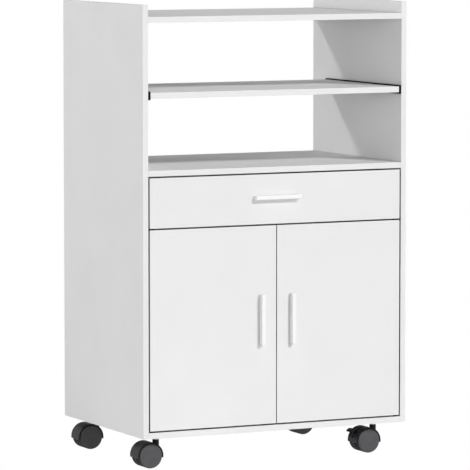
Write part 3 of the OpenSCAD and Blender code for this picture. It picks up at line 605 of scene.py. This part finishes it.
def cross_recessed(tree, head, diameter, height):
    """The head with a cross recess, cut by two bars whose middle is at its top."""
    wide = add(tree, MATH, {0: diameter, 1: RECESS_SPAN}, operation="MULTIPLY")
    thin = add(tree, MATH, {0: diameter, 1: RECESS_BAR}, operation="MULTIPLY")
    deep = add(tree, MATH, {0: height, 1: 2 * RECESS_DEPTH}, operation="MULTIPLY")
    bars = []
    for width, breadth in ((wide, thin), (thin, wide)):
        size = add(tree, POINT, {"X": width, "Y": breadth, "Z": deep})
        bars.append(add(tree, "GeometryNodeMeshCube", {"Size": size}))
    cross = add(tree, "GeometryNodeMeshBoolean", {"Mesh 2": bars}, operation="UNION", solver="EXACT")
    recess = add(tree, SHIFT, {"Geometry": cross, "Translation": add(tree, POINT, {"Z": height})})
    return add(tree, "GeometryNodeMeshBoolean", {"Mesh 1": head, "Mesh 2": recess},
               operation="DIFFERENCE", solver="EXACT")


def threaded_shank(tree, diameter, length, pitch):
    """A core, and a thread wound round it over most of its length."""
    core_radius = add(tree, MATH, {0: diameter, 1: CORE}, operation="MULTIPLY")
    core = add(tree, "GeometryNodeMeshCylinder", {"Vertices": 12, "Radius": core_radius, "Depth": length})
    middle = add(tree, MATH, {0: length, 1: -2.0}, operation="DIVIDE")
    core = add(tree, SHIFT, {"Geometry": core, "Translation": add(tree, POINT, {"Z": middle})})

    ridge = add(tree, MATH, {0: diameter, 1: RIDGE}, operation="MULTIPLY")
    radius = add(tree, MATH, {0: diameter, 1: 2.0}, operation="DIVIDE")
    wound = add(tree, MATH, {0: radius, 1: ridge}, operation="SUBTRACT")
    threaded = add(tree, MATH, {0: length, 1: THREADED}, operation="MULTIPLY")
    turns = add(tree, MATH, {0: threaded, 1: pitch}, operation="DIVIDE")
    coil = add(tree, "GeometryNodeCurveSpiral", {
        "Resolution": 12, "Rotations": turns, "Height": threaded, "Start Radius": wound, "End Radius": wound,
    })
    profile = add(tree, "GeometryNodeCurvePrimitiveCircle", {"Resolution": 4, "Radius": ridge})
    thread = add(tree, "GeometryNodeCurveToMesh", {
        "Curve": coil, "Profile Curve": profile, "Fill Caps": True})
    foot = add(tree, MATH, {0: length, 1: -THREAD_END}, operation="MULTIPLY")
    thread = add(tree, SHIFT, {"Geometry": thread, "Translation": add(tree, POINT, {"Z": foot})})
    return core, thread


def screw_tree():
    """A tree that sets a cross-recess screw on each point, its head towards the point's "outwards"."""
    tree = bpy.data.node_groups.new("cross_recess_screws", "GeometryNodeTree")
    tree.interface.new_socket("Geometry", in_out="OUTPUT", socket_type="NodeSocketGeometry")
    tree.interface.new_socket("Points", in_out="INPUT", socket_type="NodeSocketGeometry")
    sockets = {}
    for name, kind in SCREW_INPUTS.items():
        socket = tree.interface.new_socket(name, in_out="INPUT", socket_type="NodeSocket" + kind)
        sockets[name] = socket.identifier
    given = add(tree, "NodeGroupInput").outputs

    pan = pan_head(tree, given["Head Diameter"], given["Head Height"])
    head = cross_recessed(tree, pan, given["Head Diameter"], given["Head Height"])
    core, thread = threaded_shank(
        tree, given["Shank Diameter"], given["Shank Length"], given["Thread Pitch"])
    screw = add(tree, "GeometryNodeJoinGeometry", {0: [head, core, thread]})

    # each screw looks outwards and stops at an angle of its own, as hand-driven ones do
    outwards = add(tree, "GeometryNodeInputNamedAttribute", {"Name": "outwards"}, data_type="FLOAT_VECTOR")
    upright = add(tree, "FunctionNodeAlignRotationToVector", {"Vector": outwards}, axis="Z")
    turn = add(tree, "FunctionNodeRandomValue", {"Min": 0.0, "Max": FULL_TURN, "Seed": given["Seed"]},
               data_type="FLOAT")
    turned = add(tree, "FunctionNodeAxisAngleToRotation", {
        "Axis": (0, 0, 1), "Angle": turn.outputs["Value"]})
    both = add(tree, "FunctionNodeRotateRotation", {0: upright, 1: turned}, rotation_space="LOCAL")
    placed = add(tree, "GeometryNodeInstanceOnPoints", {
        "Points": given["Points"], "Instance": screw, "Rotation": both})
    solid = add(tree, "GeometryNodeRealizeInstances", {"Geometry": placed})
    plated = add(tree, "GeometryNodeSetMaterial", {"Geometry": solid, "Material": given["Metal"]})
    add(tree, "NodeGroupOutput", {0: plated})
    return tree, sockets


def islands(mesh):
    """The points of each separate solid of a mesh."""
    waiting = set(mesh.verts)
    while waiting:
        island = set()
        rim = [waiting.pop()]
        while rim:
            vertex = rim.pop()
            island.add(vertex)
            for line in vertex.link_edges:
                other = line.other_vert(vertex)
                if other in waiting:
                    waiting.discard(other)
                    rim.append(other)
        yield [vertex.co.copy() for vertex in island]


def measured_screw(points):
    """Where a plain CAD screw sits: the foot of its head, the way it faces, and its sizes."""
    low = Vector([min(point[axis] for point in points) for axis in AXES])
    high = Vector([max(point[axis] for point in points) for axis in AXES])
    middle = (low + high) / 2
    size = high - low
    along = max(AXES, key=lambda axis: size[axis])
    across = [axis for axis in AXES if axis != along]
    head_radius = min(size[axis] for axis in across) / 2

    def off_axis(point):
        return math.sqrt(sum((point[axis] - middle[axis]) ** 2 for axis in across))

    head = [point[along] for point in points if off_axis(point) > HEAD_INSIDE * head_radius]
    shank = [point for point in points if off_axis(point) < HEAD_INSIDE * head_radius]
    shank_radius = max(map(off_axis, shank))
    head_height = max(head) - min(head)
    faces_up = max(head) > middle[along]
    foot = middle.copy()
    foot[along] = min(head) if faces_up else max(head)
    outwards = Vector((0, 0, 0))
    outwards[along] = 1 if faces_up else -1
    return {
        "foot": foot,
        "outwards": outwards,
        "Head Diameter": 2 * head_radius,
        "Head Height": head_height,
        "Shank Diameter": 2 * shank_radius,
        "Shank Length": size[along] - head_height,
    }


def set_screws(node, seed, pitch_mm):
    """Real screws in place of a CAD node's plain ones."""
    mesh = merged_copy(node)
    screws = sorted(map(measured_screw, islands(mesh)), key=lambda screw: tuple(screw["foot"]))
    mesh.free()
    data = bpy.data.meshes.new(node)
    data.from_pydata([screw["foot"] for screw in screws], [], [])
    outwards = data.attributes.new("outwards", "FLOAT_VECTOR", "POINT")
    for element, screw in zip(outwards.data, screws):
        element.vector = screw["outwards"]
    holder = bpy.data.objects.new(node + "_points", data)
    scene.collection.objects.link(holder)
    maker = holder.modifiers.new("screws", "NODES")
    maker.node_group = SCREW_TREE
    zinc = FINISHES["zinc_steel"]
    values = {name: screws[0][name] for name in ("Head Diameter", "Head Height", "Shank Diameter")}
    values["Shank Length"] = min(screw["Shank Length"] for screw in screws)
    values["Thread Pitch"] = pitch_mm * MM
    values["Seed"] = seed
    values["Metal"] = zinc
    for name, value in values.items():
        maker[SCREW_SOCKETS[name]] = value
    return place_piece(node + "_cross_recess", evaluated_mesh(holder), [zinc], node)


SCREW_TREE, SCREW_SOCKETS = screw_tree()
SCREWS = {  # node: pitch of its thread in mm
    "board_screws": 1.6,
    "caster_screws": 1.6,
    "slide_bar_screws": 1.6,
    "drawer_screws": 1.6,
    "drawer_handle_screws": 0.7,
    "left_handle_screws": 0.7,
    "right_handle_screws": 0.7,
}
for seed, (node, pitch_mm) in enumerate(SCREWS.items()):
    set_screws(node, seed, pitch_mm)


# ---------------------------------------------------------------- floor, light and camera

FLOOR_WIDTH = 60  # metres
# How bright the room is towards each side, as in an ambient cube
ROOM = {"left": 3.1, "right": 2.4, "front": 2.35, "back": 2.0, "above": 0.19}
ROOM_FALL = 4.0  # how fast the walls darken towards the ceiling
# The lamps: where each stands as seen from the cart, how strong it is, and its width in degrees
LAMPS = {
    "key_light": ((0.32, -0.77, 0.56), 1.78, 9),
    "window_behind": ((-0.30, 0.12, 0.115), 0.64, 4),
}
CAMERA_PLACE = (-3.4715, -7.13855, 1.171)  # metres, from the vertical edges of the photograph
CAMERA_PITCH = math.radians(84.8245)
CAMERA_YAW = math.radians(-25.931)
CAMERA_LENS = 292.25  # mm
CAMERA_SENSOR = 36  # mm
CAMERA_REACH = 100  # metres


def is_one_of(tree, first, *others):
    """1 for a ray that is of one of these kinds, and 0 for any other, such as one that gathers light."""
    rays = add(tree, "ShaderNodeLightPath").outputs
    found = rays[first]
    for kind in others:
        found = add(tree, MATH, {0: found, 1: rays[kind]}, operation="MAXIMUM")
    return found


def lay_floor():
    """A plain white floor, which the camera and mirrors see as pure white."""
    bpy.ops.mesh.primitive_plane_add(size=FLOOR_WIDTH)
    floor = bpy.context.object
    floor.name = "studio_floor"
    material = bpy.data.materials.new("studio_white")
    material.use_nodes = True
    tree = material.node_tree
    tree.nodes.clear()
    seen = is_one_of(tree, "Is Camera Ray", "Is Glossy Ray")
    matt = add(tree, "ShaderNodeBsdfDiffuse", {"Color": linear("#F2F2F2")})
    white = add(tree, "ShaderNodeEmission", {"Color": linear("#FFFFFF"), "Strength": 1.0})
    mixed = add(tree, "ShaderNodeMixShader", {0: seen, 1: matt, 2: white})
    add(tree, "ShaderNodeOutputMaterial", {"Surface": mixed})
    floor.data.materials.append(material)


def light_room():
    """A white room whose brightness changes smoothly from side to side; the camera sees it pure white."""
    world = bpy.data.worlds.new("white_room")
    scene.world = world
    world.use_nodes = True
    tree = world.node_tree
    tree.nodes.clear()
    way = add(tree, "ShaderNodeTexCoord").outputs["Generated"]
    x, y, z = add(tree, "ShaderNodeSeparateXYZ", {0: way}).outputs

    def wall(axis, sign, side):
        """The light from one side: the square of how far a ray points there, times the side's brightness."""
        pointing = add(tree, MATH, {0: axis, 1: sign}, operation="MULTIPLY")
        ahead = add(tree, MATH, {0: pointing, 1: 0.0}, operation="MAXIMUM")
        square = add(tree, MATH, {0: ahead, 1: 2.0}, operation="POWER")
        return add(tree, MATH, {0: square, 1: ROOM[side]}, operation="MULTIPLY")

    walls = wall(x, -1.0, "left")
    for axis, sign, side in ((x, 1.0, "right"), (y, -1.0, "front"), (y, 1.0, "back")):
        walls = add(tree, MATH, {0: walls, 1: wall(axis, sign, side)}, operation="ADD")
    rise = add(tree, MATH, {0: z, 1: 0.0}, operation="MAXIMUM")
    below_ceiling = add(tree, MATH, {0: 1.0, 1: rise}, operation="SUBTRACT")
    fall = add(tree, MATH, {0: below_ceiling, 1: ROOM_FALL}, operation="POWER")
    walls = add(tree, MATH, {0: walls, 1: fall}, operation="MULTIPLY")
    total = add(tree, MATH, {0: walls, 1: wall(z, 1.0, "above")}, operation="ADD")
    seen = is_one_of(tree, "Is Camera Ray", "Is Glossy Ray", "Is Transmission Ray")
    strength = add(tree, "ShaderNodeMix", {0: seen, 2: total, 3: 1.0})
    room = add(tree, "ShaderNodeBackground", {"Color": linear("#FFFFFF"), "Strength": strength})
    add(tree, "ShaderNodeOutputWorld", {"Surface": room})


def hang_lamps():
    """The key light stands in front, to the right and above; the other shines in from behind on the left."""
    for name, (place, strength, width) in LAMPS.items():
        lamp = bpy.data.lights.new(name, "SUN")
        lamp.energy = strength
        lamp.angle = math.radians(width)
        holder = bpy.data.objects.new(name, lamp)
        holder.rotation_euler = Vector(place).to_track_quat("Z", "Y").to_euler()
        scene.collection.objects.link(holder)


def set_camera():
    """The photograph's camera: far off to the left, a little above the worktop, with a long lens."""
    camera = bpy.data.cameras.new("photograph_view")
    camera.lens = CAMERA_LENS
    camera.sensor_width = CAMERA_SENSOR
    camera.clip_end = CAMERA_REACH
    holder = bpy.data.objects.new("photograph_view", camera)
    holder.location = CAMERA_PLACE
    holder.rotation_euler = (CAMERA_PITCH, 0, CAMERA_YAW)
    scene.collection.objects.link(holder)
    scene.camera = holder


lay_floor()
light_room()
hang_lamps()
set_camera()
scene.view_settings.view_transform = "Standard"
